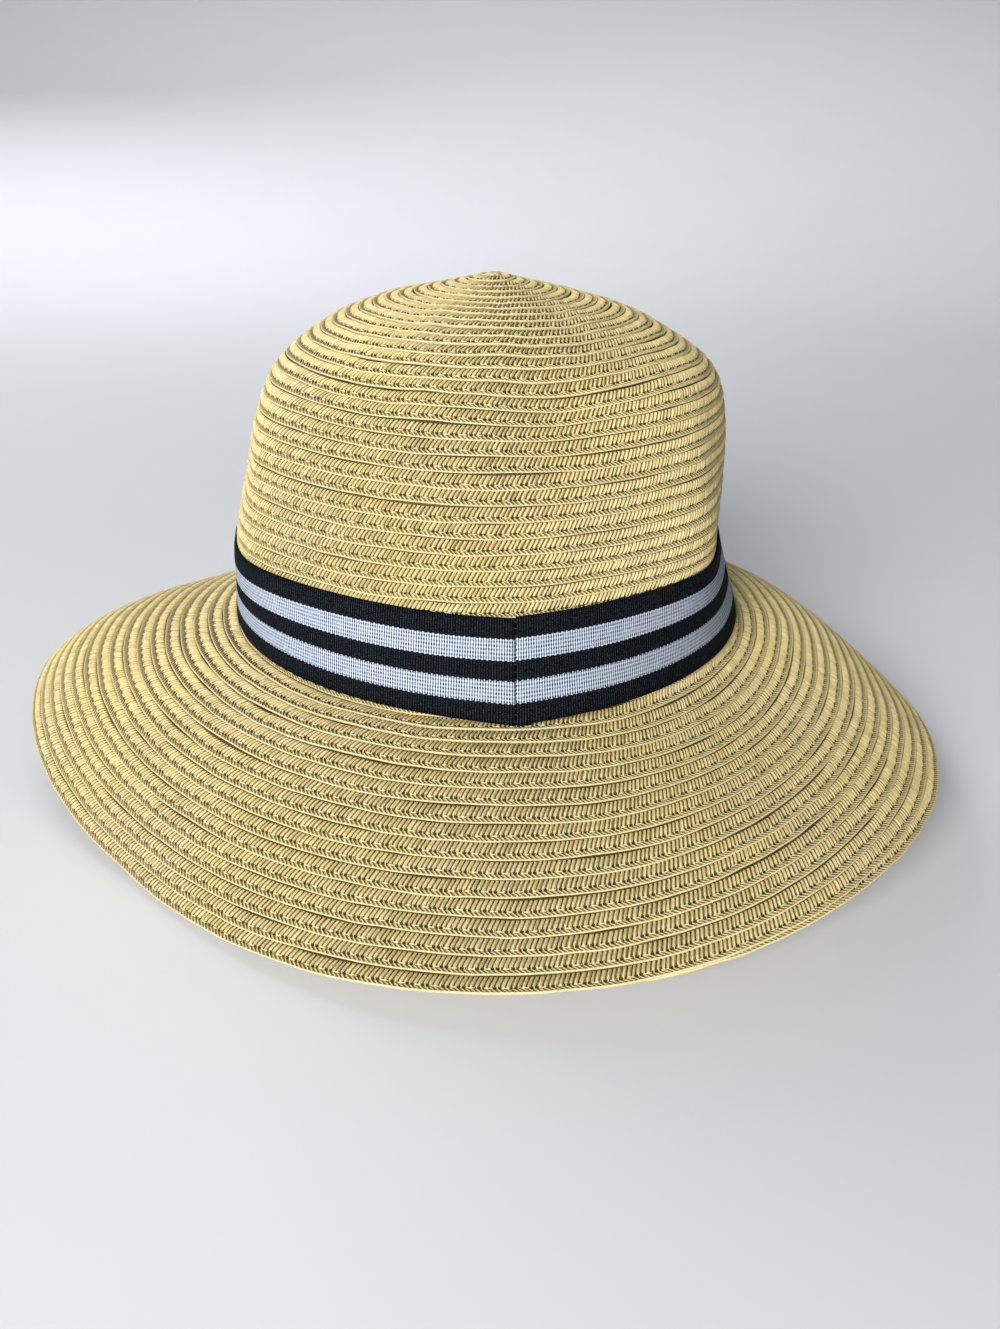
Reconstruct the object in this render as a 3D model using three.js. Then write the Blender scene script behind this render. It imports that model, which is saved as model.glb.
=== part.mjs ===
// Wide-brim sun hat of sewn straw braid with a striped ribbon band.
// Millimetres and degrees, +Z up. Azimuth 0 is the front (-Y), 90 is the right (+X), 180 is the back.
// The crown and the brim are worked out in the hat's own frame, whose height 0 is the crown's foot.
// The whole hat then leans forward as it stands on its rim, with the rim's lowest points at height 0.

import * as THREE from 'three';

// Driving sizes
const strawThickness = 2;
const ribbonThickness = 0.8;
const ribbonWidth = 31.5;
const clearance = 0.3;
const leanForward = 1;

// Crown wall: distance up the wall from the foot, height, and the radius on four sides
const crownRows = [
  { up: 0, height: 0, left: 91.5, front: 92.5, right: 91.5, back: 92.5 },
  { up: 18, height: 17.8, left: 89.4, front: 90, right: 85, back: 90 },
  { up: 36, height: 35.6, left: 87, front: 87, right: 80, back: 87.2 },
  { up: 54, height: 53.8, left: 82.6, front: 84.6, right: 79.6, back: 84.2 },
  { up: 72, height: 71.2, left: 78, front: 79.8, right: 79, back: 79.6 },
  { up: 90, height: 87, left: 70.4, front: 71.2, right: 73.4, back: 70.6 },
  { up: 108, height: 98, left: 55.8, front: 58.4, right: 57.8, back: 56 },
  { up: 126, height: 105.2, left: 38.6, front: 42.8, right: 39.6, back: 39.4 },
  { up: 144, height: 109.4, left: 21, front: 25, right: 22, back: 22 },
  { up: 157, height: 112.2, left: 8.5, front: 11, right: 9, back: 9 },
  { up: 161, height: 113.2, left: 5, front: 5.6, right: 5, back: 5 },
  { up: 166, height: 113.8, left: 0, front: 0, right: 0, back: 0 },
];

// Soft dents in the crown, pressed inwards, and the swells at its squarish front corners, with a
// depth below 0: where, how deep, and how far they spread
const crownDents = [
  { azimuth: -53, up: 34, depth: -5, degreesWide: 16, tall: 20 },
  { azimuth: -53, up: 72, depth: -4.4, degreesWide: 17, tall: 22 },
  { azimuth: 50, up: 40, depth: -5.4, degreesWide: 15, tall: 22 },
  { azimuth: -38, up: 88, depth: 2.2, degreesWide: 17, tall: 16 },
  { azimuth: 18, up: 86, depth: 3.4, degreesWide: 15, tall: 14 },
  { azimuth: 52, up: 94, depth: -2.2, degreesWide: 17, tall: 16 },
  { azimuth: -8, up: 110, depth: -0.8, degreesWide: 30, tall: 14 },
  { azimuth: 150, up: 96, depth: 2.2, degreesWide: 30, tall: 18 },
];

// Brim: how steeply it falls at its root, halfway out and at the rim, and its length along the slope
const brimRows = [
  { azimuth: 0, root: 1, middle: 43, rim: 12, length: 81 },
  { azimuth: 45, root: 38, middle: 14, rim: 26, length: 83 },
  { azimuth: 90, root: 2, middle: 30, rim: 42, length: 79 },
  { azimuth: 135, root: 6, middle: 44, rim: 62, length: 83 },
  { azimuth: 180, root: 16, middle: 29, rim: 30, length: 84 },
  { azimuth: 225, root: 34, middle: 39, rim: 46, length: 82 },
  { azimuth: 270, root: 16, middle: 17, rim: 45, length: 87 },
  { azimuth: 315, root: 4, middle: 41, rim: 60, length: 81 },
];

// Ribbon band: the two ends meet in a mitred seam a little to the right of the front
const seamAzimuth = 6;
const bandRise = 2.4;
const bandDip = 2.2;
const bandDipDegrees = 16;
const bandFlare = 4.2;
const bandFlareDegrees = 55;
const turnedEndLength = 4.5;
const turnedEndDrop = 0.7;

// Fineness of the facets
const crownFacets = 72;
const brimFacets = 104;
const bandFacets = 120;
const crownOutsideSteps = 19;
const crownInsideSteps = 12;
const brimSteps = 9;
const slopeSteps = 32;
const bandSteps = 5;

const DEGREE = Math.PI / 180;

// Cubic through a table's rows at uneven spacing; x lies between rows i and i + 1
function hermite(x0, x1, y0, y1, slope0, slope1, x) {
  const width = x1 - x0;
  const t = (x - x0) / width;
  const t2 = t * t;
  const t3 = t2 * t;
  return (2 * t3 - 3 * t2 + 1) * y0 + (t3 - 2 * t2 + t) * width * slope0
    + (3 * t2 - 2 * t3) * y1 + (t3 - t2) * width * slope1;
}

function columnAlong(rows, key, column, x) {
  const last = rows.length - 1;
  const at = Math.min(Math.max(x, rows[0][key]), rows[last][key]);
  let i = 0;
  while (i < last - 1 && at > rows[i + 1][key]) i += 1;
  const slope = (j) => {
    const before = rows[Math.max(j - 1, 0)];
    const after = rows[Math.min(j + 1, last)];
    return (after[column] - before[column]) / (after[key] - before[key]);
  };
  const from = rows[i];
  const to = rows[i + 1];
  return hermite(from[key], to[key], from[column], to[column], slope(i), slope(i + 1), at);
}

// The same round the hat, for rows at even azimuths that close on themselves
function columnAround(rows, column, azimuth) {
  const step = 360 / rows.length;
  const place = (((azimuth % 360) + 360) % 360) / step;
  const i = Math.floor(place);
  const value = (j) => rows[(j + rows.length) % rows.length][column];
  const slope = (j) => (value(j + 1) - value(j - 1)) / 2;
  return hermite(i, i + 1, value(i), value(i + 1), slope(i), slope(i + 1), place);
}

// Value between four sides of the hat
function betweenSides(left, front, right, back, azimuth) {
  const angle = azimuth * DEGREE;
  const mean = (left + front + right + back) / 4;
  const oval = (front + back - left - right) / 4;
  return mean + (front - back) / 2 * Math.cos(angle) + (right - left) / 2 * Math.sin(angle)
    + oval * Math.cos(2 * angle);
}

function aroundAxis(radius, azimuth, height) {
  const angle = azimuth * DEGREE;
  return new THREE.Vector3(radius * Math.sin(angle), -radius * Math.cos(angle), height);
}

function angleBetween(a, b) {
  return ((a - b + 540) % 360 + 360) % 360 - 180;
}

const crownTop = crownRows[crownRows.length - 1].up;
// Millimetres and degrees between the points that a surface's slope is taken from
const nearby = 1;

// Crown wall without its dents
function crownShape(azimuth, up) {
  const sides = ['left', 'front', 'right', 'back'].map((side) => columnAlong(crownRows, 'up', side, up));
  return aroundAxis(betweenSides(...sides, azimuth), azimuth, columnAlong(crownRows, 'up', 'height', up));
}

function crownNormal(azimuth, up) {
  if (up === crownTop) return new THREE.Vector3(0, 0, 1);
  const above = crownShape(azimuth, Math.min(up + nearby, crownTop));
  const below = crownShape(azimuth, Math.max(up - nearby, 0));
  const across = crownShape(azimuth + nearby, up).sub(crownShape(azimuth - nearby, up));
  return across.cross(above.sub(below)).normalize();
}

function crownPoint(azimuth, up, depth = 0) {
  let push = depth;
  for (const dent of crownDents) {
    const aside = angleBetween(azimuth, dent.azimuth) / dent.degreesWide;
    const above = (up - dent.up) / dent.tall;
    push += dent.depth * Math.exp(-aside * aside - above * above);
  }
  return crownShape(azimuth, up).addScaledVector(crownNormal(azimuth, up), -push);
}

// Slope of the brim at a share of its length
function brimSlope(azimuth, share) {
  const root = columnAround(brimRows, 'root', azimuth);
  const middle = columnAround(brimRows, 'middle', azimuth);
  const rim = columnAround(brimRows, 'rim', azimuth);
  const bend = 2 * (root - 2 * middle + rim);
  return (root + (rim - root - bend) * share + bend * share * share) * DEGREE;
}

// Point on the brim at a share of its length from the crown's foot, at a depth below its upper face
function brimPoint(azimuth, share, depth = 0) {
  const foot = crownRows[0];
  const length = columnAround(brimRows, 'length', azimuth);
  let radius = betweenSides(foot.left, foot.front, foot.right, foot.back, azimuth);
  let height = 0;
  for (let i = 0; i < slopeSteps; i += 1) {
    const slope = brimSlope(azimuth, share * (i + 0.5) / slopeSteps);
    radius += length * share / slopeSteps * Math.cos(slope);
    height -= length * share / slopeSteps * Math.sin(slope);
  }
  const slope = brimSlope(azimuth, share);
  return aroundAxis(radius - depth * Math.sin(slope), azimuth, height - depth * Math.cos(slope));
}

// A lathe's net of facets, each vertex then put at its own place for its azimuth and its row
function turned(rowCount, facets, place) {
  const profile = Array.from({ length: rowCount }, (_, row) => new THREE.Vector2(1, row));
  const geometry = new THREE.LatheGeometry(profile, facets);
  const position = geometry.attributes.position;
  for (let i = 0; i <= facets; i += 1) {
    const azimuth = -360 * (i % facets) / facets;
    for (let row = 0; row < rowCount; row += 1) {
      const point = place(row, azimuth);
      position.setXYZ(i * rowCount + row, point.x, point.y, point.z);
    }
  }
  geometry.computeVertexNormals();
  return geometry;
}

// Crown: from the outer tip down the outside to the foot, then up the inside to the inner tip
function makeCrown() {
  const foot = (azimuth, depth) => {
    const point = crownPoint(azimuth, clearance);
    const radius = Math.hypot(point.x, point.y) - depth;
    return aroundAxis(radius, azimuth, clearance);
  };
  const place = (row, azimuth) => {
    if (row === crownOutsideSteps) return foot(azimuth, 0);
    if (row < crownOutsideSteps) return crownPoint(azimuth, crownTop * (1 - row / crownOutsideSteps));
    const inside = row - crownOutsideSteps - 1;
    if (inside === 0) return foot(azimuth, strawThickness);
    return crownPoint(azimuth, crownTop * inside / crownInsideSteps, strawThickness);
  };
  return turned(crownOutsideSteps + crownInsideSteps + 2, crownFacets, place);
}

// Brim: its upper face from the ledge under the crown out to the rim, then its lower face back in
function makeBrim() {
  const ledge = (azimuth, depth) => {
    const foot = brimPoint(azimuth, 0);
    return aroundAxis(Math.hypot(foot.x, foot.y) - strawThickness, azimuth, -depth);
  };
  const upperRim = brimSteps + 1;
  const lowerFoot = 2 * brimSteps + 2;
  const place = (row, azimuth) => {
    if (row === 0 || row === lowerFoot + 2) return ledge(azimuth, 0);
    if (row <= upperRim) return brimPoint(azimuth, (row - 1) / brimSteps);
    if (row <= lowerFoot) return brimPoint(azimuth, (lowerFoot - row) / brimSteps, strawThickness);
    return ledge(azimuth, strawThickness);
  };
  return turned(lowerFoot + 3, brimFacets, place);
}

// Height of the ribbon's lower edge, which dips to the seam and steps down over the turned end
function bandFoot(azimuth) {
  const aside = Math.abs(angleBetween(azimuth, seamAzimuth));
  return bandRise - bandDip * Math.exp(-aside / bandDipDegrees);
}

// How far the lower edge stands off the crown, from the seam round towards the right
function bandStandOff(azimuth) {
  const past = angleBetween(azimuth, seamAzimuth);
  if (past < 0) return bandFlare * Math.exp(past / bandDipDegrees * 2);
  return bandFlare * Math.max(1 - past / bandFlareDegrees, 0) ** 2;
}

function turnedEnd(azimuth) {
  const past = angleBetween(azimuth, seamAzimuth);
  return past > 0 && past < turnedEndLength / crownRows[0].front / DEGREE;
}

// Band: the ribbon's outer face from its top edge to its foot, then its inner face back up
function makeBand() {
  const innerTop = 2 * bandSteps + 1;
  const place = (row, azimuth) => {
    const outside = row <= bandSteps || row > innerTop;
    const steps = Math.min(row, Math.abs(innerTop - row));
    const down = row > innerTop ? 0 : steps / bandSteps;
    const drop = turnedEnd(azimuth) ? turnedEndDrop * down : 0;
    const up = bandFoot(azimuth) + ribbonWidth * (1 - down) - drop;
    const off = clearance + bandStandOff(azimuth) * down ** 2;
    return crownPoint(azimuth, up, outside ? -off - ribbonThickness : -off);
  };
  return turned(innerTop + 2, bandFacets, place);
}

function piece(name, geometry, colour, roughness) {
  const material = new THREE.MeshStandardMaterial({ color: colour, roughness, metalness: 0 });
  const mesh = new THREE.Mesh(geometry, material);
  mesh.name = name;
  return mesh;
}

const straw = 0xdcc48c;
const ribbon = 0x17181f;

const hat = new THREE.Group();
hat.add(piece('crown', makeCrown(), straw, 0.7));
hat.add(piece('brim', makeBrim(), straw, 0.7));
hat.add(piece('ribbon_band', makeBand(), ribbon, 0.85));

// The hat leans as its rim lets it, and stands over the origin
hat.rotation.set(leanForward * DEGREE, 0, 0);
hat.updateMatrixWorld(true);
const bounds = new THREE.Box3().setFromObject(hat, true);
const middle = bounds.getCenter(new THREE.Vector3());
hat.position.set(-middle.x, -middle.y, -bounds.min.z);

export default hat;
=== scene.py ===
"""Looks of a wide-brim sun hat: sewn straw braid, a striped ribbon band and a plain studio."""

import math

import bmesh
import bpy
import numpy as np
from bpy.props import FloatProperty, FloatVectorProperty, IntProperty, PointerProperty
from mathutils import Matrix, Vector


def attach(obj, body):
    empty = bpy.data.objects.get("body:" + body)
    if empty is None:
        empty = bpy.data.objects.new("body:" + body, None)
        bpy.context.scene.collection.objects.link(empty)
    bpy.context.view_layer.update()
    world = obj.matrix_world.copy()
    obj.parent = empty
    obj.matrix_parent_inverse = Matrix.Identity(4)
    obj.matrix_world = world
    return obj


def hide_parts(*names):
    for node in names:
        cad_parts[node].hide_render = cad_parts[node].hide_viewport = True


bl_info = {
    "name": "Wide-brim sun hat",
    "version": (1, 0, 0),
    "blender": (4, 5, 0),
    "location": "View3D > Sidebar > Sun Hat",
    "description": "Sewn straw braid, striped ribbon band and studio for the sun hat",
    "category": "Object",
}

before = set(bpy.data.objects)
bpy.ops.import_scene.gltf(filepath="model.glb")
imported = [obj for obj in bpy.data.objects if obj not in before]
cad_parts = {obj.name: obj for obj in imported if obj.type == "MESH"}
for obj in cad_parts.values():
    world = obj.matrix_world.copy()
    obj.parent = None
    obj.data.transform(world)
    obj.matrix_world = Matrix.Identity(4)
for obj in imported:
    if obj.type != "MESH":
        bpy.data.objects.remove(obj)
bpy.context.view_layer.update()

MM = 0.001

# Crown wall in mm: distance up the wall from the foot, height, and the radius on four sides
CROWN = dict(zip(("up", "height", "left", "front", "right", "back"), np.array([
    (0, 0, 91.5, 92.5, 91.5, 92.5),
    (18, 17.8, 89.4, 90, 85, 90),
    (36, 35.6, 87, 87, 80, 87.2),
    (54, 53.8, 82.6, 84.6, 79.6, 84.2),
    (72, 71.2, 78, 79.8, 79, 79.6),
    (90, 87, 70.4, 71.2, 73.4, 70.6),
    (108, 98, 55.8, 58.4, 57.8, 56),
    (126, 105.2, 38.6, 42.8, 39.6, 39.4),
    (144, 109.4, 21, 25, 22, 22),
    (157, 112.2, 8.5, 11, 9, 9),
    (161, 113.2, 5, 5.6, 5, 5),
    (166, 113.8, 0, 0, 0, 0),
], dtype=float).T))
CROWN_TOP = CROWN["up"][-1]

# Soft dents, and the swells at the squarish front corners: azimuth, distance up the wall, depth inwards,
# degrees wide, mm tall
DENTS = ((-53, 34, -5, 16, 20), (-53, 72, -4.4, 17, 22), (50, 40, -5.4, 15, 22), (-38, 88, 2.2, 17, 16),
         (18, 86, 3.4, 15, 14), (52, 94, -2.2, 17, 16), (-8, 110, -0.8, 30, 14), (150, 96, 2.2, 30, 18))

# Brim round the hat, every 45 degrees: its slope at the root, halfway and at the rim, and its length in mm
BRIM = dict(zip(("root", "middle", "rim", "length"), np.array([
    (1, 43, 12, 81),
    (38, 14, 26, 83),
    (2, 30, 42, 79),
    (6, 44, 62, 83),
    (16, 29, 30, 84),
    (34, 39, 46, 82),
    (16, 17, 45, 87),
    (4, 41, 60, 81),
], dtype=float).T))
SLOPE_STEPS = 32

# The whole hat leans forward as it stands, and its box stands over the origin, in mm
LEAN_FORWARD = math.radians(1)
HAT_PLACE = np.array((5.346, -3.615, 51.443))

# Spiral of braid: rows from the tip to the crown's foot, and how the rows lie against the azimuth
CROWN_ROWS = 36.7
FIRST_RIDGE = 0.7
BRIM_SHIFT = -0.15
BRIM_SHIFT_TURNS = (33, 36)
SPIRAL_END = 52.958
TAIL_TURNS = 0.16
TAIL_SLIDE = 1.02
TAIL_DROP = 0.95
RIM_RIDGE = 0.988
ROWS_AT_TAIL = 15.808
TAIL_AZIMUTH = 15

# Braid cut across: share of the row's pitch, height over the hat's surface in mm, how much a rib stands out
# in mm, how far the rib leans along the row in ribs, and the place on the material's cross scale
BRAID = dict(zip(("across", "height", "rib", "lean", "scale"), np.array([
    (-0.14, -1.10, 0.00, -0.95, -0.14),
    (0.03, -0.28, 0.16, -0.82, 0.03),
    (0.16, 0.00, 0.28, -0.62, 0.16),
    (0.40, 0.12, 0.28, -0.15, 0.40),
    (0.60, -0.02, 0.20, 0.14, 0.60),
    (0.68, -0.24, 0.04, 0.16, 0.68),
    (0.86, 0.04, 0.12, -0.55, 0.86),
    (0.945, 0.28, 0.03, -0.85, 0.945),
    (1.00, 0.06, 0.02, -0.90, 1.00),
    (0.99, -0.50, 0.02, -0.90, 1.09),
    (-0.08, -1.72, -0.10, -0.60, 2.14),
    (-0.14, -1.10, 0.00, -0.95, 2.30),
], dtype=float).T))
RIDGE_ACROSS = 0.94

# The spiral's length is measured in this many steps, this share of a row in from the ridge, and no nearer the
# tip than the first row given
SPIRAL_STEPS = 40000
MIDDLE_ROW, FIRST_ROW = 0.4, 0.15

# Single ribs: how strongly they stand out, how far they slant by chance in ribs, and the least relief in mm
# that slants
RIB_LIFT = (0.55, 1.35)
RIB_SKEW = 0.13
SLANTING_RELIEF = 0.08

# Slow unevenness along the braid: spacing in mm, seed, and size, across it in rows and out of it in mm
ROW_WANDER = ((23, 7, 0.055), (7, 8, 0.025))
ROW_LIFT = (11, 9, 0.06)

# Slow waves of the sewn straw: times round the hat, radians per row, phase and size in mm, and the rows from
# the tip that they grow over
WAVES = ((4, 0.31, 0.2, 0.16), (7, -0.55, 1.1, 0.14), (11, 0.42, 2.3, 0.12), (17, -0.23, 4.0, 0.10),
         (24, 0.6, 5.1, 0.07))
WAVES_GROW = (2, 10)

# Rows up from the crown's foot between which the ribbon presses the braid flat, and what it leaves in mm
PRESSED_TOP, PRESSED_FOOT = (8.0, 7.4), (0.6, 0.3)
PRESSED_HEIGHT = 0.2

# Rows either side of the crown's foot over which the braid turns from the wall to the brim
FOOT_TURN = 0.6

# Straw knot at the tip, in mm
KNOT_RADIUS, KNOT_HALF_HEIGHT, KNOT_BELOW_TIP = 2.3, 1.15, 0.75

# Ribbon in mm and degrees: its foot above the crown's, its dip at the seam, how far its lower edge stands off
# right of the seam, and its turned end
BAND_RISE, BAND_DIP, BAND_DIP_DEGREES = 2.4, 2.2, 16
BAND_FLARE, BAND_FLARE_DEGREES = 4.2, 55
TURNED_LENGTH, TURNED_DROP, TURNED_SINK = 4.5, 0.7, 0.28

# Mean radii in mm that turn the way round the crown into lengths, at its foot and along the ribbon
FOOT_RADIUS, RIBBON_RADIUS = 92, 91.0

# Ribbon cut across: points over its face and its back, the inset of its edges as a share of its width, and
# how deep the edges and the points beside them lie as a share of its thickness
FACE_LINES, BACK_LINES = 15, 6
EDGE_INSET, EDGE_DEPTHS, BESIDE_EDGE_DEPTH = 0.003, (0.6, 0.8), 0.18

# Ribbon's ends tuck in by this depth over this length in mm
END_TUCK, END_TUCK_LENGTH = 0.42, 0.45

# Ribbon's slow puff and sway: spacing in mm, seed and size in mm, and where along them the ribbon starts
RIBBON_PUFF, RIBBON_SWAY = (17, 21, 0.16), (31, 22, 0.22)
RIBBON_START = 900

# Stitches down the ribbon's seam
STITCHES = 15


def along(table, key, name, x):
    """Smooth curve through a table's rows."""
    keys, values = table[key], table[name]
    x = np.clip(x, keys[0], keys[-1])
    i = np.clip(np.searchsorted(keys, x, side="right") - 1, 0, len(keys) - 2)
    before, after = np.r_[keys[0], keys[:-1]], np.r_[keys[1:], keys[-1]]
    slope = (np.r_[values[1:], values[-1]] - np.r_[values[0], values[:-1]]) / (after - before)
    return hermite(keys[i], keys[i + 1], values[i], values[i + 1], slope[i], slope[i + 1], x)


def hermite(x0, x1, y0, y1, slope0, slope1, x):
    width = x1 - x0
    t = (x - x0) / width
    return ((2 * t**3 - 3 * t**2 + 1) * y0 + (t**3 - 2 * t**2 + t) * width * slope0
            + (3 * t**2 - 2 * t**3) * y1 + (t**3 - t**2) * width * slope1)


def round_hat(name, azimuth):
    """Smooth curve through the brim's rows, closed on itself."""
    values = BRIM[name]
    place = np.mod(azimuth, 360) / (360 / len(values))
    i = np.floor(place).astype(int)
    at = [values[(i + k) % len(values)] for k in (-1, 0, 1, 2)]
    return hermite(i, i + 1, at[1], at[2], (at[2] - at[0]) / 2, (at[3] - at[1]) / 2, place)


def between_sides(left, front, right, back, azimuth):
    angle = np.radians(azimuth)
    oval = (front + back - left - right) / 4
    return ((left + front + right + back) / 4 + (front - back) / 2 * np.cos(angle)
            + (right - left) / 2 * np.sin(angle) + oval * np.cos(2 * angle))


def round_axis(radius, azimuth, height):
    angle = np.radians(azimuth)
    return np.stack((radius * np.sin(angle), -radius * np.cos(angle), height + 0 * angle), axis=-1)


def crown_shape(azimuth, up):
    sides = [along(CROWN, "up", side, up) for side in ("left", "front", "right", "back")]
    return round_axis(between_sides(*sides, azimuth), azimuth, along(CROWN, "up", "height", up))


def unit(vectors):
    length = np.linalg.norm(vectors, axis=-1, keepdims=True)
    return np.where(length < 1e-9, (0.0, 0.0, 1.0), vectors / np.maximum(length, 1e-9))


def crown_surface(azimuth, up):
    """Points of the crown with its dents, and the directions out of it."""
    rise = crown_shape(azimuth, np.minimum(up + 1, CROWN_TOP)) - crown_shape(azimuth, np.maximum(up - 1, 0))
    across = crown_shape(azimuth + 1, up) - crown_shape(azimuth - 1, up)
    normal = unit(np.cross(across, rise))
    push = 0 * azimuth
    for place, height, depth, wide, tall in DENTS:
        aside = (np.mod(azimuth - place + 180, 360) - 180) / wide
        push = push + depth * np.exp(-aside**2 - ((up - height) / tall) ** 2)
    return crown_shape(azimuth, up) - normal * push[..., None], normal


def brim_surface(azimuth, share):
    """Points of the brim at a share of its length, and the directions up from it."""
    root, middle, rim = (round_hat(name, azimuth) for name in ("root", "middle", "rim"))
    bend = 2 * (root - 2 * middle + rim)
    step = round_hat("length", azimuth) * share / SLOPE_STEPS
    sides = [CROWN[side][0] for side in ("left", "front", "right", "back")]
    radius, height = between_sides(*sides, azimuth), 0 * azimuth
    for i in range(SLOPE_STEPS):
        s = share * (i + 0.5) / SLOPE_STEPS
        slope = np.radians(root + (rim - root - bend) * s + bend * s * s)
        radius = radius + step * np.cos(slope)
        height = height - step * np.sin(slope)
    slope = np.radians(root + (rim - root - bend) * share + bend * share * share)
    return round_axis(radius, azimuth, height), round_axis(np.sin(slope), azimuth, np.cos(slope))


def smooth(x, low, high):
    t = np.clip((x - low) / (high - low), 0, 1)
    return t * t * (3 - 2 * t)


def rows_to_rim(azimuth):
    """Rows of braid between the crown's foot and the rim's ridge: one more behind the spiral's end."""
    turn = np.mod((TAIL_AZIMUTH - azimuth) / 360, 1)
    last = 1 - TAIL_TURNS
    return ROWS_AT_TAIL + np.minimum(turn, last) - last * smooth(turn, last, 1)


def hat_surface(azimuth, rows):
    """Points of the hat and directions out of it, at a number of braid rows out from the tip."""
    up = np.maximum(CROWN_ROWS - rows, 0) * CROWN_TOP / CROWN_ROWS
    share = np.maximum(rows - CROWN_ROWS, 0) * RIM_RIDGE / rows_to_rim(azimuth)
    crown, crown_out = crown_surface(azimuth, up)
    brim, brim_out = brim_surface(azimuth, share)
    onto_brim = (rows > CROWN_ROWS)[..., None]
    turn_over = smooth(rows, CROWN_ROWS - FOOT_TURN, CROWN_ROWS + FOOT_TURN)[..., None]
    return np.where(onto_brim, brim, crown), unit(crown_out * (1 - turn_over) + brim_out * turn_over)


def stand(points):
    """Leans and places points of the hat as it stands, in metres."""
    x, y, z = points[..., 0], points[..., 1], points[..., 2]
    c, s = math.cos(LEAN_FORWARD), math.sin(LEAN_FORWARD)
    return (np.stack((x, y * c - z * s, y * s + z * c), axis=-1) + HAT_PLACE) * MM


def ridge_row(turn):
    """Row, counted from the tip, of the braid's ridge after a number of turns of the spiral."""
    row = turn + FIRST_RIDGE + BRIM_SHIFT * smooth(turn, *BRIM_SHIFT_TURNS)
    return row - TAIL_SLIDE * smooth(turn, SPIRAL_END - TAIL_TURNS, SPIRAL_END)


def uneven(values, spacing, seed, size):
    """Slow random wander along the braid."""
    knots = np.random.RandomState(seed).uniform(-1, 1, int(values.max() / spacing) + 3)
    place = values / spacing
    i = np.floor(place).astype(int)
    t = place - i
    t = t * t * (3 - 2 * t)
    return size * (knots[i] * (1 - t) + knots[i + 1] * t)


def waves(azimuth, rows):
    angle = np.radians(azimuth)
    height = sum(size * np.sin(times * angle + per_row * rows + phase)
                 for times, per_row, phase, size in WAVES)
    return height * smooth(rows, *WAVES_GROW)


def measure_spiral():
    """Turns of the spiral against the length of braid laid so far, in mm."""
    turns = np.linspace(0, SPIRAL_END, SPIRAL_STEPS)
    rows = np.maximum(ridge_row(turns) - MIDDLE_ROW, FIRST_ROW)
    points, _ = hat_surface(-360 * turns, rows)
    steps = np.linalg.norm(np.diff(points, axis=0), axis=1)
    return turns, np.r_[0, np.cumsum(steps)]


def show_smooth(obj):
    obj.data.polygons.foreach_set("use_smooth", np.ones(len(obj.data.polygons), dtype=bool))


def net(name, columns, rows):
    """A flat grid of a number of faces each way, and each vertex's column and row in it."""
    bm = bmesh.new()
    bmesh.ops.create_grid(bm, x_segments=columns, y_segments=rows, size=1, calc_uvs=False)
    mesh = bpy.data.meshes.new(name)
    bm.to_mesh(mesh)
    bm.free()
    co = np.empty(len(mesh.vertices) * 3)
    mesh.vertices.foreach_get("co", co)
    share = (co.reshape(-1, 3) + 1) / 2
    return mesh, np.rint(share[:, 0] * columns).astype(int), np.rint(share[:, 1] * rows).astype(int)


def lay_net(mesh, points, u, v):
    """Puts a grid's vertices in their places and gives it its map."""
    mesh.vertices.foreach_set("co", np.ascontiguousarray(points, dtype=np.float32).ravel())
    corners = np.empty(len(mesh.loops), dtype=np.int32)
    mesh.loops.foreach_get("vertex_index", corners)
    uv = mesh.uv_layers.new(name="UVMap")
    uv.uv.foreach_set("vector", np.stack((u[corners], v[corners]), axis=-1).astype(np.float32).ravel())


def close_tube(mesh, weld):
    """Welds a tube's long seam, caps its open ends and turns its faces outwards."""
    bm = bmesh.new()
    bm.from_mesh(mesh)
    bmesh.ops.remove_doubles(bm, verts=bm.verts, dist=weld)
    ends = [e for e in bm.edges if e.is_boundary]
    if ends:
        bmesh.ops.holes_fill(bm, edges=ends, sides=0)
    bmesh.ops.recalc_face_normals(bm, faces=bm.faces)
    if bm.calc_volume(signed=True) < 0:
        bmesh.ops.reverse_faces(bm, faces=bm.faces)
    bm.to_mesh(mesh)
    bm.free()


def add_piece(name, mesh, material, stands_for):
    obj = bpy.data.objects.new(name, mesh)
    bpy.context.scene.collection.objects.link(obj)
    mesh.materials.clear()
    mesh.materials.append(material)
    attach(obj, "root")
    if stands_for:
        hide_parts(*stands_for)
    return obj


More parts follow.
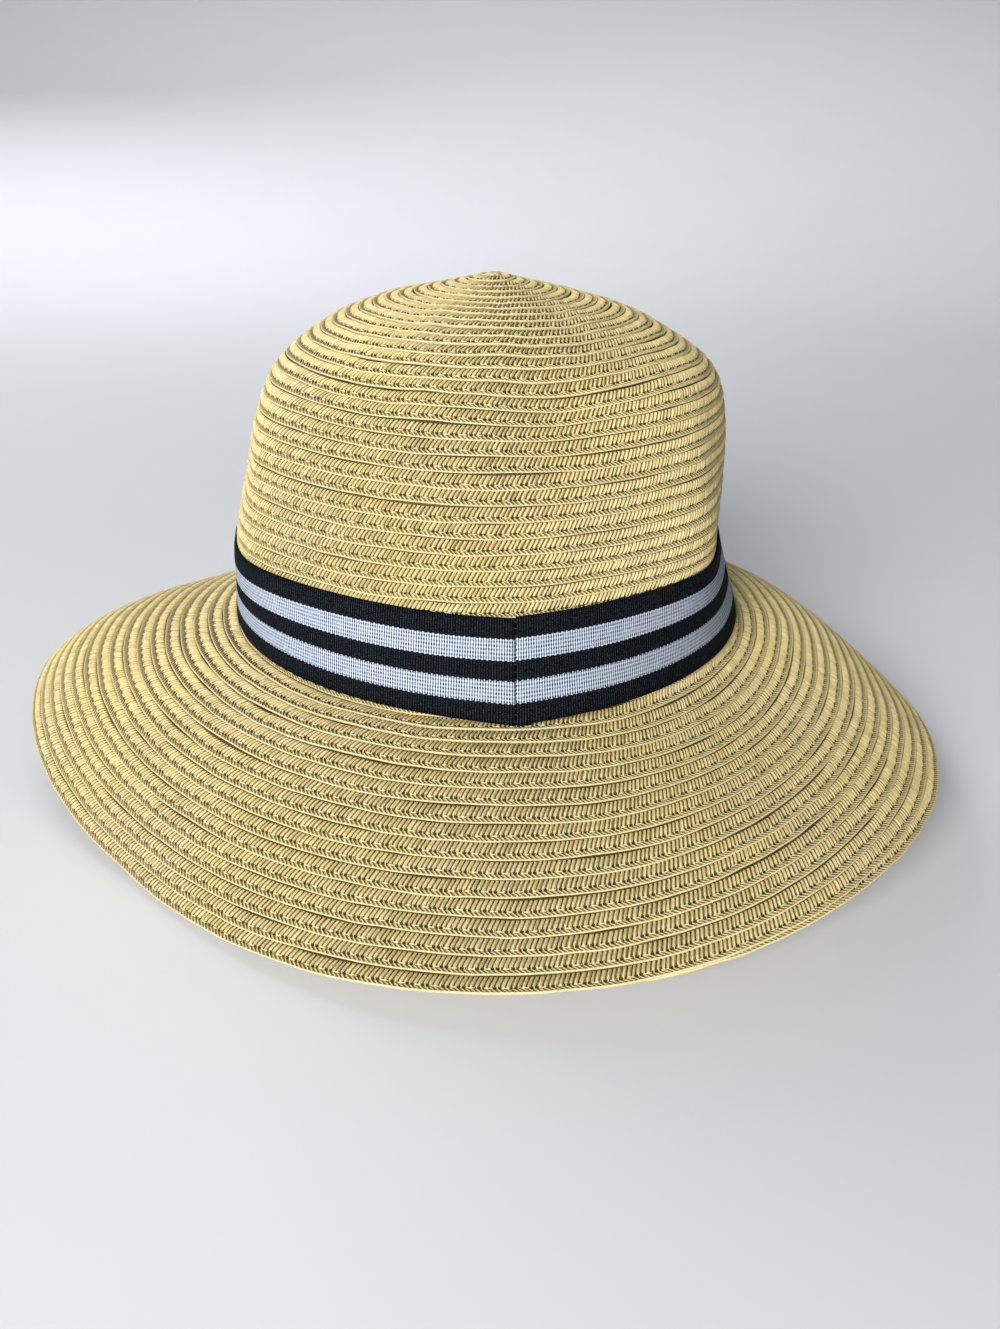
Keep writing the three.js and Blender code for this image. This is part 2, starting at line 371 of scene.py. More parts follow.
def lay_braid(name, first, last, spiral, settings):
    """One stretch of the spiral of braid, from one rib to another, as a closed flat tube with real ribs."""
    columns = 2 * (last - first)
    profile = len(BRAID["across"])
    mesh, column, line = net(name, columns, profile - 1)
    rib_pitch = settings.rib_pitch / MM
    relief = settings.relief
    rib = first + column / 2
    at = np.rint(rib).astype(int)
    chance = np.random.RandomState(41)
    count = int(spiral[1][-1] / rib_pitch) + 4
    lift, skew = chance.uniform(*RIB_LIFT, count), chance.uniform(-RIB_SKEW, RIB_SKEW, count)
    crest = np.where(column % 2 == 0, 1.0, -1.0) * lift[at]
    length = (rib + BRAID["lean"][line] + skew[at] * (BRAID["rib"][line] > SLANTING_RELIEF)) * rib_pitch
    length = np.clip(length, 0, spiral[1][-1])
    turn = np.interp(length, spiral[1], spiral[0])
    azimuth = -360 * turn
    wander = sum(uneven(length, *slow) for slow in ROW_WANDER)
    rows = np.maximum(ridge_row(turn) + BRAID["across"][line] - RIDGE_ACROSS + wander, 0.03)
    height = BRAID["height"][line] + relief * BRAID["rib"][line] * crest
    height = height + uneven(length, *ROW_LIFT) + waves(azimuth, rows)
    height = height - TAIL_DROP * smooth(turn, SPIRAL_END - TAIL_TURNS, SPIRAL_END - 0.02)
    pressed = smooth(rows, *(CROWN_ROWS - up for up in PRESSED_TOP))
    pressed = pressed * (1 - smooth(rows, *(CROWN_ROWS - up for up in PRESSED_FOOT)))
    height = height - pressed * np.maximum(height - PRESSED_HEIGHT, 0)
    base, out = hat_surface(azimuth, rows)
    lay_net(mesh, stand(base + out * height[:, None]), rib - first, BRAID["scale"][line])
    ends = np.empty(len(mesh.edges) * 2, dtype=np.int32)
    mesh.edges.foreach_get("vertices", ends)
    across = column[ends[0::2]] == column[ends[1::2]]
    sharp = mesh.attributes.new("sharp_edge", "BOOLEAN", "EDGE")
    sharp.data.foreach_set("value", across)
    close_tube(mesh, 1e-8)
    return mesh


# Materials

class Maker:
    """Short words for building one material's nodes."""

    def __init__(self, name):
        self.material = bpy.data.materials.get(name) or bpy.data.materials.new(name)
        self.material.use_nodes = True
        self.tree = self.material.node_tree
        self.tree.nodes.clear()
        self.shader = self.add("ShaderNodeBsdfPrincipled")
        output = self.add("ShaderNodeOutputMaterial")
        self.join(self.shader.outputs["BSDF"], output.inputs["Surface"])

    def add(self, kind, **settings):
        made = self.tree.nodes.new(kind)
        for key, value in settings.items():
            setattr(made, key, value)
        return made

    def join(self, source, socket):
        if isinstance(source, (int, float)):
            socket.default_value = source
        elif isinstance(source, (tuple, list)):
            socket.default_value = tuple(source) + (1,) * (len(socket.default_value) - len(source))
        else:
            self.tree.links.new(source, socket)

    def sum(self, kind, *values, clamp=False):
        made = self.add("ShaderNodeMath", operation=kind, use_clamp=clamp)
        for value, socket in zip(values, made.inputs):
            self.join(value, socket)
        return made.outputs[0]

    def between(self, value, low, high, to_low=0.0, to_high=1.0):
        made = self.add("ShaderNodeMapRange", interpolation_type="SMOOTHSTEP")
        for socket, v in zip(made.inputs, (value, low, high, to_low, to_high)):
            self.join(v, socket)
        return made.outputs[0]

    def mix(self, share, first, second, kind="MIX"):
        made = self.add("ShaderNodeMix", data_type="RGBA", blend_type=kind)
        self.join(share, made.inputs["Factor"])
        self.join(first, made.inputs["A"])
        self.join(second, made.inputs["B"])
        return made.outputs["Result"]

    def vector(self, x, y, z=0.0):
        made = self.add("ShaderNodeCombineXYZ")
        for socket, v in zip(made.inputs, (x, y, z)):
            self.join(v, socket)
        return made.outputs[0]

    def noise(self, vector, scale, detail=2.0, roughness=0.5):
        made = self.add("ShaderNodeTexNoise")
        self.join(vector, made.inputs["Vector"])
        made.inputs["Scale"].default_value = scale
        made.inputs["Detail"].default_value = detail
        made.inputs["Roughness"].default_value = roughness
        return made.outputs["Fac"]

    def chance(self, value):
        made = self.add("ShaderNodeTexWhiteNoise", noise_dimensions="1D")
        self.join(value, made.inputs["W"])
        return made.outputs["Value"]

    def map(self):
        made = self.add("ShaderNodeSeparateXYZ")
        self.join(self.add("ShaderNodeUVMap", uv_map="UVMap").outputs[0], made.inputs[0])
        return made.outputs[0], made.outputs[1]

    def place(self):
        return self.add("ShaderNodeTexCoord").outputs["Object"]

    def bump(self, height, distance, strength=1.0):
        made = self.add("ShaderNodeBump")
        made.inputs["Strength"].default_value = strength
        made.inputs["Distance"].default_value = distance
        self.join(height, made.inputs["Height"])
        self.join(made.outputs[0], self.shader.inputs["Normal"])


def straw_braid(settings):
    """Paper straw: bright slanting ribs, painted shade in the gaps between them, in the stitch holes and
    under each row's lap, a dotted row of stitches and a smooth ridge.
    """
    whole_scale = 2.2
    ribs_per_stitch = 3.4
    m = Maker("straw_braid")
    u, v = m.map()
    # The back of the braid repeats the front's bands the other way up
    band = m.sum("MINIMUM", v, m.sum("SUBTRACT", whole_scale, v))
    rib = m.sum("FRACT", m.sum("ADD", u, 0.5))
    number = m.sum("FLOOR", m.sum("ADD", u, 0.5))
    aside = m.sum("ABSOLUTE", m.sum("SUBTRACT", rib, 0.5))
    shade = m.chance(number)
    fibres = m.noise(m.vector(m.sum("MULTIPLY", u, 5.5), m.sum("MULTIPLY", v, 1.6)), 1.0, 3.0, 0.6)
    strands = m.noise(m.vector(m.sum("MULTIPLY", u, 0.9), m.sum("MULTIPLY", v, 22.0)), 1.0, 2.0, 0.5)
    in_ribs = m.sum("MULTIPLY", m.between(band, -0.02, 0.06), m.between(band, 0.64, 0.58))
    in_hatch = m.sum("MULTIPLY", m.between(band, 0.67, 0.72), m.between(band, 0.91, 0.86))
    in_stitch = m.sum("MULTIPLY", m.between(band, 0.56, 0.62), m.between(band, 0.74, 0.69))
    in_thread = m.sum("MULTIPLY", m.between(band, 0.59, 0.63), m.between(band, 0.71, 0.67))
    in_ridge = m.between(band, 0.88, 0.93)

    # Painted shade: the dark gaps between ribs and hatch strands and the dark stitch holes stand in for the
    # shade in these recesses
    gap_width = m.between(m.noise(m.vector(m.sum("MULTIPLY", u, 0.31), v), 1.0), 0.3, 0.7, 0.38, 0.29)
    ragged = m.sum("MULTIPLY", m.sum("SUBTRACT", fibres, 0.5), 0.22)
    gap = m.between(m.sum("ADD", aside, ragged), gap_width, 0.46)
    # The gaps, and the painted shade in them, open towards a rib's two ends
    to_end = m.between(m.sum("ABSOLUTE", m.sum("SUBTRACT", band, 0.33)), 0.06, 0.27, 0.52, 1.0)
    rib_gap_shade = m.sum("MULTIPLY", m.sum("MULTIPLY", gap, in_ribs), to_end)
    hatch_gap_shade = m.sum("MULTIPLY", m.between(aside, 0.14, 0.40), m.sum("MULTIPLY", in_hatch, 0.65))
    stitch = m.sum("FRACT", m.sum("DIVIDE", m.sum("ADD", u, m.sum("MULTIPLY", shade, 0.5)), ribs_per_stitch))
    stitch_hole_shade = m.sum("MULTIPLY", m.between(aside, 0.04, 0.28), in_stitch)
    stitch_hole_shade = m.sum("MULTIPLY", stitch_hole_shade, m.between(stitch, 0.95, 0.45, 0.6, 1.0))
    thread = m.sum("MULTIPLY", in_thread, m.between(stitch, 0.50, 0.62))
    thread = m.sum("MULTIPLY", thread, m.between(stitch, 0.98, 0.90))
    stitch_hole_shade = m.sum("SUBTRACT", stitch_hole_shade, m.sum("MULTIPLY", thread, 0.7), clamp=True)
    # Painted shade under the ridge of the row above, where it laps over this row's start
    painted_shade_under_lap = m.sum("MULTIPLY", m.between(band, 0.07, -0.02), 0.8)
    # Mask of all the painted shade, laid on in the gap colour and also used for roughness and bump
    dark = m.sum("MAXIMUM", m.sum("MAXIMUM", rib_gap_shade, hatch_gap_shade), m.sum("MAXIMUM", stitch_hole_shade, painted_shade_under_lap))

    drift = m.noise(m.place(), 26.0, 3.0, 0.6)
    straw = m.mix(m.between(drift, 0.35, 0.65), settings.straw_yellow[:], settings.straw_tan[:])
    straw = m.mix(m.between(shade, 0.55, 1.0, 0.0, 0.55), straw, settings.straw_warm[:])
    straw = m.mix(m.between(fibres, 0.40, 0.72, 0.0, 0.75), straw, settings.straw_bright[:])
    ridge = m.sum("MULTIPLY", in_ridge, m.between(strands, 0.3, 0.7, 0.35, 0.95))
    straw = m.mix(ridge, straw, settings.straw_ridge[:])
    # Painted shade in the gap colour over gaps, stitch holes and the lap
    straw = m.mix(dark, straw, settings.straw_gap_shade[:])
    straw = m.mix(m.sum("MULTIPLY", thread, 0.45), straw, settings.thread[:])
    m.join(straw, m.shader.inputs["Base Color"])
    rough = m.between(fibres, 0.3, 0.8, 0.72, 0.5)
    m.join(m.sum("ADD", rough, m.sum("MULTIPLY", dark, 0.3), clamp=True), m.shader.inputs["Roughness"])
    m.shader.inputs["Specular IOR Level"].default_value = 0.22

    dome = m.sum("SUBTRACT", 1.0, m.sum("MULTIPLY", m.sum("MULTIPLY", aside, aside), 3.4))
    relief = m.sum("ADD", m.sum("MULTIPLY", dome, m.sum("ADD", in_ribs, m.sum("MULTIPLY", in_hatch, 0.5))),
                   m.sum("MULTIPLY", fibres, 0.5))
    relief = m.sum("ADD", relief, m.sum("MULTIPLY", strands, m.sum("MULTIPLY", in_ridge, 0.35)))
    relief = m.sum("SUBTRACT", relief, m.sum("MULTIPLY", dark, 1.2))
    relief = m.sum("ADD", relief, m.sum("MULTIPLY", thread, 0.8))
    m.bump(relief, 0.0003, 0.9)
    return m.material


def striped_ribbon(settings):
    """Woven ribbon: black and bluish-white stripes, crosswise ribs, and dark weft that shows in the white."""
    # In mm: pitch of the crosswise cords, of the weft and of the fine threads, and the white stripes' edges
    cord, weft, fine_thread = 0.76, 1.18, 0.36
    stripes = ((6.2, 12.6), (18.6, 25.2))
    soft_edge = 0.10
    m = Maker("striped_ribbon")
    u, v = m.map()
    cords = m.sum("ABSOLUTE", m.sum("SUBTRACT", m.sum("FRACT", m.sum("DIVIDE", u, cord)), 0.5))
    scallop = m.sum("MULTIPLY", m.sum("SINE", m.sum("MULTIPLY", u, math.pi / cord)), 0.13)
    fray = m.noise(m.vector(m.sum("MULTIPLY", u, 1.4), v), 1.0)
    fray = m.sum("MULTIPLY", m.sum("SUBTRACT", fray, 0.5), 0.25)
    down = m.sum("ADD", m.sum("ADD", v, scallop), fray)
    white = m.sum("MAXIMUM", *(m.sum("MULTIPLY", m.between(down, low - soft_edge, low + soft_edge),
                                     m.between(down, high + soft_edge, high - soft_edge))
                               for low, high in stripes))
    dash_row = m.sum("ABSOLUTE", m.sum("SUBTRACT", m.sum("FRACT", m.sum("DIVIDE", v, weft)), 0.5))
    dash = m.sum("MULTIPLY", m.between(dash_row, 0.14, 0.30), m.between(cords, 0.06, 0.26))
    worn = m.noise(m.vector(m.sum("MULTIPLY", u, 0.35), m.sum("MULTIPLY", v, 0.5)), 1.0, 3.0, 0.6)
    dash = m.sum("MULTIPLY", dash, m.between(worn, 0.3, 0.6, 0.7, 1.0))
    line = m.sum("MULTIPLY", m.between(cords, 0.20, 0.40), 0.85)
    pale = m.mix(m.sum("MAXIMUM", dash, line), settings.ribbon_white[:], settings.ribbon_dash[:])
    fine = m.sum("ABSOLUTE", m.sum("SUBTRACT", m.sum("FRACT", m.sum("DIVIDE", v, fine_thread)), 0.5))
    speck = m.noise(m.vector(m.sum("MULTIPLY", u, 3.2), m.sum("MULTIPLY", v, 3.6)), 1.0, 2.0, 0.6)
    black = m.mix(m.sum("MULTIPLY", m.between(cords, 0.26, 0.05), m.between(speck, 0.42, 0.62)),
                  settings.ribbon_black[:], settings.ribbon_glint[:])
    m.join(m.mix(white, black, pale), m.shader.inputs["Base Color"])
    m.join(m.between(speck, 0.3, 0.7, 0.62, 0.85), m.shader.inputs["Roughness"])
    m.shader.inputs["Specular IOR Level"].default_value = 0.02
    rounded = m.sum("SUBTRACT", 1.0, m.sum("MULTIPLY", m.sum("MULTIPLY", cords, cords), 4.0))
    relief = m.sum("ADD", rounded, m.sum("MULTIPLY", fine, 0.35))
    relief = m.sum("SUBTRACT", relief, m.sum("MULTIPLY", m.sum("MULTIPLY", dash, white), 0.5))
    m.bump(relief, 0.00012, 0.8)
    return m.material


def black_thread():
    m = Maker("black_thread")
    u = m.noise(m.place(), 3000.0, 2.0)
    m.join(m.mix(u, (0.006, 0.006, 0.009), (0.028, 0.03, 0.042)), m.shader.inputs["Base Color"])
    m.shader.inputs["Roughness"].default_value = 0.7
    m.bump(u, 0.00008)
    return m.material


def pale_floor(settings):
    m = Maker("pale_floor")
    grain = m.noise(m.place(), 9.0, 4.0)
    m.join(m.mix(grain, settings.floor_colour[:], tuple(c * 0.97 for c in settings.floor_colour)),
           m.shader.inputs["Base Color"])
    m.shader.inputs["Roughness"].default_value = 0.9
    m.shader.inputs["Specular IOR Level"].default_value = 0.1
    return m.material


# Settings

class SunHatBraidSettings(bpy.types.PropertyGroup):
    rib_pitch: FloatProperty(name="Rib pitch", description="Distance from one rib of the braid to the next",
                             default=1.35 * MM, min=0.5 * MM, max=5 * MM, unit="LENGTH", precision=5)
    relief: FloatProperty(name="Relief", description="How strongly the ribs stand out of the braid",
                          default=1.0, min=0.0, max=2.0, subtype="FACTOR")
    crown_pieces: IntProperty(name="Crown pieces", description="Stretches that the crown's braid is made in",
                              default=3, min=1, max=12)
    brim_pieces: IntProperty(name="Brim pieces", description="Stretches that the brim's braid is made in",
                             default=3, min=1, max=12)
    straw_yellow: FloatVectorProperty(name="Yellow straw", description="Straw where it is yellowest",
                                      default=(0.53, 0.435, 0.175), subtype="COLOR", min=0, max=1)
    straw_tan: FloatVectorProperty(name="Tan straw", description="Straw where it is duller",
                                   default=(0.49, 0.405, 0.20), subtype="COLOR", min=0, max=1)
    straw_warm: FloatVectorProperty(name="Warm straw", description="Single ribs that are redder",
                                    default=(0.55, 0.40, 0.19), subtype="COLOR", min=0, max=1)
    straw_bright: FloatVectorProperty(name="Bright fibres", description="Fibres that catch the light",
                                      default=(0.82, 0.72, 0.41), subtype="COLOR", min=0, max=1)
    straw_ridge: FloatVectorProperty(name="Ridge", description="Smooth lower edge of each row",
                                     default=(0.70, 0.61, 0.35), subtype="COLOR", min=0, max=1)
    # Colour of the painted shade in gaps, stitch holes and under each row's lap
    straw_gap_shade: FloatVectorProperty(name="Gaps", description="Dark gaps between ribs and stitch holes",
                                   default=(0.034, 0.023, 0.003), subtype="COLOR", min=0, max=1)
    thread: FloatVectorProperty(name="Thread", description="Sewing thread that holds the rows",
                                default=(0.74, 0.67, 0.50), subtype="COLOR", min=0, max=1)


class SunHatRibbonSettings(bpy.types.PropertyGroup):
    width: FloatProperty(name="Width", description="Width of the ribbon", default=31.5 * MM, min=5 * MM,
                         max=80 * MM, unit="LENGTH")
    thickness: FloatProperty(name="Thickness", description="Thickness of the ribbon", default=0.8 * MM,
                             min=0.2 * MM, max=2 * MM, unit="LENGTH", precision=5)
    gap: FloatProperty(name="Gap", description="Room between the ribbon and the crown", default=0.3 * MM,
                       min=0, max=2 * MM, unit="LENGTH", precision=5)
    seam_azimuth: FloatProperty(name="Seam", description="Place of the seam, to the right of the front",
                                default=math.radians(6), subtype="ANGLE")
    ribbon_white: FloatVectorProperty(name="White", description="White stripes", default=(0.55, 0.62, 0.75),
                                      subtype="COLOR", min=0, max=1)
    ribbon_dash: FloatVectorProperty(name="Weft", description="Dark weft that shows in the white stripes",
                                     default=(0.022, 0.030, 0.050), subtype="COLOR", min=0, max=1)
    ribbon_black: FloatVectorProperty(name="Black", description="Black stripes",
                                      default=(0.0012, 0.0018, 0.003), subtype="COLOR", min=0, max=1)
    ribbon_glint: FloatVectorProperty(name="Black glint", description="Lit threads of the black stripes",
                                      default=(0.045, 0.056, 0.070), subtype="COLOR", min=0, max=1)


class SunHatStageSettings(bpy.types.PropertyGroup):
    camera_place: FloatVectorProperty(name="Camera", description="Place of the camera",
                                      default=(0.01035, -0.35285, 0.19937), subtype="TRANSLATION",
                                      precision=5)
    camera_pitch: FloatProperty(name="Looking down", description="Angle the camera looks down by",
                                default=math.radians(27.0), subtype="ANGLE")
    camera_roll: FloatProperty(name="Roll", description="Turn of the camera about its own view",
                               default=math.radians(1.37), subtype="ANGLE")
    lens: FloatProperty(name="Lens", description="Focal length in mm on a 36 mm long side", default=27.088,
                        min=5, max=200)
    key_power: FloatProperty(name="Key light", description="Power of the large soft light in W",
                             default=45.0, min=0)
    sky: FloatProperty(name="Fill", description="Strength of the even light from all round",
                       default=0.12, min=0)
    floor_colour: FloatVectorProperty(name="Floor", description="Colour of the floor",
                                      default=(0.80, 0.82, 0.85), subtype="COLOR", min=0, max=1)


# Operators

def spiral_parts(settings):
    """The measured spiral, and the numbers of the ribs at its start, at the crown's foot and at its end."""
    spiral = measure_spiral()
    pitch = settings.rib_pitch / MM
    foot = int(np.interp(CROWN_ROWS - FIRST_RIDGE, *spiral) / pitch)
    return spiral, foot, int(spiral[1][-1] / pitch)


class SUNHAT_OT_crown_braid(bpy.types.Operator):
    """Lay the crown's rows of braid, from the tip down to the foot"""
    bl_idname = "sunhat.crown_braid"
    bl_label = "Crown Braid"

    def execute(self, context):
        settings = context.scene.sunhat_braid
        spiral, foot, _ = spiral_parts(settings)
        cuts = np.linspace(0, foot, settings.crown_pieces + 1).astype(int)
        straw = straw_braid(settings)
        for i, (first, last) in enumerate(zip(cuts[:-1], cuts[1:])):
            name = f"crown_braid_{i + 1}"
            add_piece(name, lay_braid(name, first, last, spiral, settings), straw, ("crown",))
        return {"FINISHED"}


class SUNHAT_OT_brim_braid(bpy.types.Operator):
    """Lay the brim's rows of braid, from the crown's foot out to the rim"""
    bl_idname = "sunhat.brim_braid"
    bl_label = "Brim Braid"

    def execute(self, context):
        settings = context.scene.sunhat_braid
        spiral, foot, end = spiral_parts(settings)
        cuts = np.linspace(foot, end, settings.brim_pieces + 1).astype(int)
        straw = straw_braid(settings)
        for i, (first, last) in enumerate(zip(cuts[:-1], cuts[1:])):
            name = f"brim_braid_{i + 1}"
            add_piece(name, lay_braid(name, first, last, spiral, settings), straw, ("brim",))
        return {"FINISHED"}


class SUNHAT_OT_tip_knot(bpy.types.Operator):
    """Make the small knot of straw that the spiral starts from"""
    bl_idname = "sunhat.tip_knot"
    bl_label = "Tip Knot"

    def execute(self, context):
        bm = bmesh.new()
        uv = bm.loops.layers.uv.new("UVMap")
        bmesh.ops.create_uvsphere(bm, u_segments=28, v_segments=14, radius=1)
        for v in bm.verts:
            angle = math.atan2(v.co.y, v.co.x)
            ripple = 1 + 0.07 * math.sin(7 * angle + 5 * v.co.z)
            middle = CROWN["height"][-1] - KNOT_BELOW_TIP
            flat = np.array((v.co.x * KNOT_RADIUS * ripple, v.co.y * KNOT_RADIUS * ripple,
                             middle + v.co.z * KNOT_HALF_HEIGHT * ripple))
            v.co = Vector(stand(flat))
        for face in bm.faces:
            for corner in face.loops:
                x, y, _ = corner.vert.co
                angle = math.atan2(y, x)
                corner[uv].uv = (3.5 * angle / math.pi, 0.9)
        mesh = bpy.data.meshes.new("tip_knot")
        bm.to_mesh(mesh)
        bm.free()
        knot = add_piece("tip_knot", mesh, straw_braid(context.scene.sunhat_braid), ())
        show_smooth(knot)
        return {"FINISHED"}


def lay_ribbon(name, start, end, columns, lower, raise_by, settings):
    """A closed flat strip of ribbon round the crown between two azimuths, with its face, edges and back."""
    wide, thick, gap = settings.width / MM, settings.thickness / MM, settings.gap / MM
    seam = math.degrees(settings.seam_azimuth)
    face = np.linspace(0, 1, FACE_LINES)
    back = np.linspace(1, 0, BACK_LINES)
    down = np.r_[EDGE_INSET, face, 1 - EDGE_INSET, 1 - EDGE_INSET, back, EDGE_INSET] * wide
    depth, deeper = EDGE_DEPTHS
    edge = -np.r_[depth, np.zeros(FACE_LINES), depth, deeper, np.ones(BACK_LINES), depth]
    edge[1], edge[FACE_LINES] = -BESIDE_EDGE_DEPTH, -BESIDE_EDGE_DEPTH
    mesh, column, line = net(name, columns, len(down) - 1)
    azimuth = start + (end - start) * column / columns
    past = np.mod(azimuth - seam + 180, 360) - 180
    # The ribbon's last column is the seam itself, come to from the left
    past = np.where((column == columns) & (end - start == 360), 0, past)
    aside = np.abs(past)
    stand_off = BAND_FLARE * np.where(past < 0, np.exp(2 * np.minimum(past, 0) / BAND_DIP_DEGREES),
                                      np.clip(1 - past / BAND_FLARE_DEGREES, 0, 1) ** 2)
    foot = BAND_RISE - BAND_DIP * np.exp(-aside / BAND_DIP_DEGREES)
    from_end = np.minimum(column, columns - column) / columns * math.radians(end - start) * FOOT_RADIUS
    tuck = END_TUCK * np.exp(-(from_end / END_TUCK_LENGTH) ** 2)
    along_mm = np.radians(azimuth - start) * RIBBON_RADIUS
    puff = uneven(along_mm + RIBBON_START, *RIBBON_PUFF) * np.sin(np.pi * np.clip(down[line] / wide, 0, 1))
    sway = uneven(along_mm + RIBBON_START, *RIBBON_SWAY)
    up = foot + wide - down[line] * (1 + lower / wide) + sway
    height = gap + raise_by + thick * (1 + edge[line]) + puff - tuck * (edge[line] > -deeper)
    height = height + stand_off * np.clip(down[line] / wide, 0, 1) ** 2
    base, out = crown_surface(azimuth, np.maximum(up, 0))
    lay_net(mesh, stand(base + out * height[:, None]), along_mm, down[line])
    close_tube(mesh, 1e-7)
    return mesh


class SUNHAT_OT_ribbon(bpy.types.Operator):
    """Wrap the striped ribbon round the crown, with its turned end below the seam"""
    bl_idname = "sunhat.ribbon"
    bl_label = "Ribbon Band"

    def execute(self, context):
        settings = context.scene.sunhat_ribbon
        seam = math.degrees(settings.seam_azimuth)
        cloth = striped_ribbon(settings)
        band_mesh = lay_ribbon("ribbon", seam, seam + 360, 540, 0, 0, settings)
        band = add_piece("ribbon", band_mesh, cloth, ("ribbon_band",))
        show_smooth(band)
        turned_to = seam + math.degrees(TURNED_LENGTH / FOOT_RADIUS)
        turned_mesh = lay_ribbon("ribbon_turned_end", seam + 0.1, turned_to, 8, TURNED_DROP, -TURNED_SINK,
                                 settings)
        turned = add_piece("ribbon_turned_end", turned_mesh, cloth, ())
        show_smooth(turned)
        return {"FINISHED"}


class SUNHAT_OT_seam_stitches(bpy.types.Operator):
    """Sew the ribbon's two ends together with small black stitches"""
    bl_idname = "sunhat.seam_stitches"
    bl_label = "Seam Stitches"

    def execute(self, context):
        settings = context.scene.sunhat_ribbon
        seam = math.degrees(settings.seam_azimuth)
        wide = settings.width / MM
        chance = np.random.RandomState(5)
        bm = bmesh.new()
        for i in range(STITCHES):
            down = (i + 0.5) / STITCHES
            up = BAND_RISE - BAND_DIP + wide * (1 - down) + chance.uniform(-0.15, 0.15)
            base, out = crown_surface(np.array(seam), np.array(up))
            base = base + out * BAND_FLARE * down**2
            side = round_axis(1.0, seam + 90, 0.0)
            rise = np.cross(out, side)
            half = chance.uniform(0.42, 0.62)
            tilt = chance.uniform(-0.2, 0.2)
            made = bmesh.ops.create_uvsphere(bm, u_segments=10, v_segments=8, radius=1)
            for v in made["verts"]:
                x, y, z = v.co
                flat = base + out * (1.02 + 0.16 * z - 0.25 * x * x) + side * half * x
                v.co = Vector(stand(flat + rise * (0.15 * y + tilt * x * half)))
        bmesh.ops.recalc_face_normals(bm, faces=bm.faces)
        mesh = bpy.data.meshes.new("seam_stitches")
        bm.to_mesh(mesh)
        bm.free()
        show_smooth(add_piece("seam_stitches", mesh, black_thread(), ()))
        return {"FINISHED"}


# Floor in metres: half its side, the steps of its net, and the sweep that its edges rise to
FLOOR_HALF, FLOOR_STEPS = 4.5, 72
SWEEP_HEIGHT, SWEEP_RADII = 1.1, (1.2, 4.4)

# Soft round lights: name, place, aim, size in metres, share of the key light's power, and colour
HAT_MIDDLE = (0, 0, 0.08)
LIGHTS = (
    ("key", (-0.6, -1.5, 0.65), HAT_MIDDLE, 1.0, 1.0, (1.0, 0.98, 0.95)),
    ("behind", (-0.9, 1.4, 1.2), HAT_MIDDLE, 1.2, 0.3, (0.95, 0.97, 1.0)),
    ("backdrop", (0, 1.6, 2.0), (0, 3.4, 0.2), 2.0, 0.5, (0.97, 0.98, 1.0)),
)
SENSOR_LONG_SIDE = 36


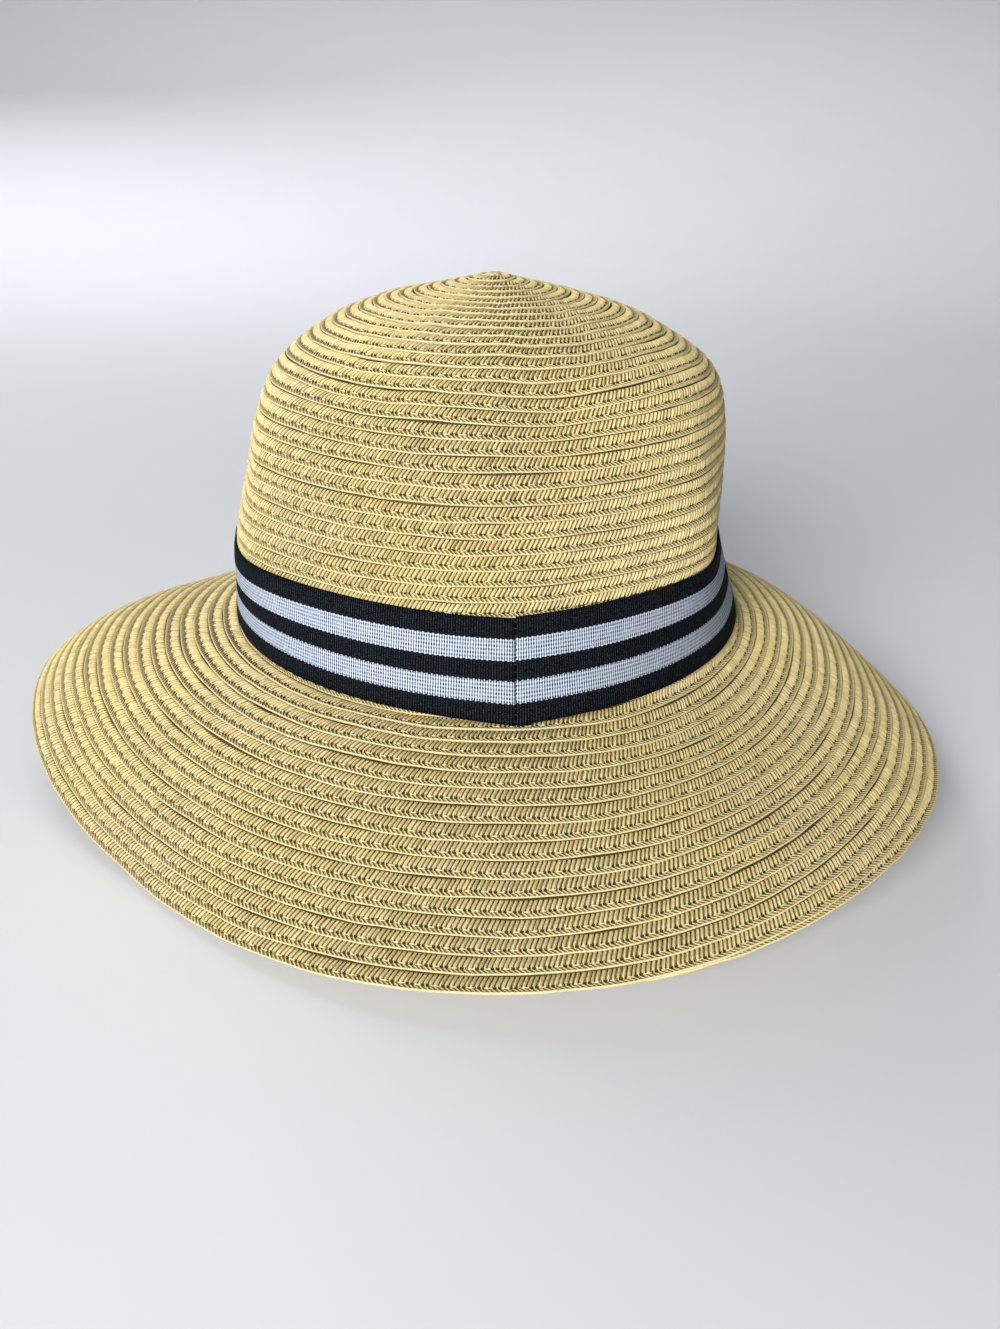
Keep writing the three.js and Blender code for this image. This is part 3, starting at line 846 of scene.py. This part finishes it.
class SUNHAT_OT_stage(bpy.types.Operator):
    """Set the pale floor, the soft lights and the camera"""
    bl_idname = "sunhat.stage"
    bl_label = "Stage"

    def execute(self, context):
        settings = context.scene.sunhat_stage
        scene = context.scene
        bm = bmesh.new()
        bmesh.ops.create_grid(bm, x_segments=FLOOR_STEPS, y_segments=FLOOR_STEPS, size=FLOOR_HALF)
        for v in bm.verts:
            v.co.z = SWEEP_HEIGHT * float(smooth(v.co.xy.length, *SWEEP_RADII))
        mesh = bpy.data.meshes.new("floor")
        bm.to_mesh(mesh)
        bm.free()
        floor = bpy.data.objects.new("floor", mesh)
        scene.collection.objects.link(floor)
        show_smooth(floor)
        mesh.materials.append(pale_floor(settings))

        world = bpy.data.worlds.new("soft_room")
        scene.world = world
        world.use_nodes = True
        background = world.node_tree.nodes["Background"]
        background.inputs["Color"].default_value = (0.93, 0.96, 1.0, 1)
        background.inputs["Strength"].default_value = settings.sky

        for name, place, aim, size, share, colour in LIGHTS:
            data = bpy.data.lights.new(name, "AREA")
            data.shape = "DISK"
            data.size = size
            data.energy = settings.key_power * share
            data.color = colour
            light = bpy.data.objects.new(name, data)
            light.location = place
            light.rotation_euler = (Vector(aim) - Vector(place)).to_track_quat("-Z", "Y").to_euler()
            scene.collection.objects.link(light)

        data = bpy.data.cameras.new("camera")
        data.sensor_width = SENSOR_LONG_SIDE
        data.lens = settings.lens
        data.clip_start, data.clip_end = 0.01, 100
        camera = bpy.data.objects.new("camera", data)
        up = Matrix.Rotation(math.pi / 2 - settings.camera_pitch, 4, "X")
        roll = Matrix.Rotation(settings.camera_roll, 4, "Z")
        camera.matrix_world = Matrix.Translation(settings.camera_place) @ up @ roll
        scene.collection.objects.link(camera)
        scene.camera = camera
        scene.view_settings.view_transform = "Standard"
        scene.view_settings.look = "None"
        return {"FINISHED"}


class SUNHAT_PT_panel(bpy.types.Panel):
    """Builds the sun hat piece by piece"""
    bl_idname = "SUNHAT_PT_panel"
    bl_label = "Sun Hat"
    bl_space_type = "VIEW_3D"
    bl_region_type = "UI"
    bl_category = "Sun Hat"

    def draw(self, context):
        layout = self.layout
        for group in (context.scene.sunhat_braid, context.scene.sunhat_ribbon, context.scene.sunhat_stage):
            box = layout.box()
            for name in group.bl_rna.properties.keys():
                if name not in {"rna_type", "name"}:
                    box.prop(group, name)
        for operator in OPERATORS:
            layout.operator(operator.bl_idname)


OPERATORS = (SUNHAT_OT_crown_braid, SUNHAT_OT_brim_braid, SUNHAT_OT_tip_knot, SUNHAT_OT_ribbon,
             SUNHAT_OT_seam_stitches, SUNHAT_OT_stage)
GROUPS = (("sunhat_braid", SunHatBraidSettings), ("sunhat_ribbon", SunHatRibbonSettings),
          ("sunhat_stage", SunHatStageSettings))


def register():
    for name, group in GROUPS:
        bpy.utils.register_class(group)
        setattr(bpy.types.Scene, name, PointerProperty(type=group))
    for made in OPERATORS + (SUNHAT_PT_panel,):
        bpy.utils.register_class(made)


def unregister():
    for made in reversed(OPERATORS + (SUNHAT_PT_panel,)):
        bpy.utils.unregister_class(made)
    for name, group in reversed(GROUPS):
        delattr(bpy.types.Scene, name)
        bpy.utils.unregister_class(group)


def main():
    register()
    bpy.ops.sunhat.crown_braid()
    bpy.ops.sunhat.brim_braid()
    bpy.ops.sunhat.tip_knot()
    bpy.ops.sunhat.ribbon()
    bpy.ops.sunhat.seam_stitches()
    bpy.ops.sunhat.stage()


if __name__ == "__main__":
    main()
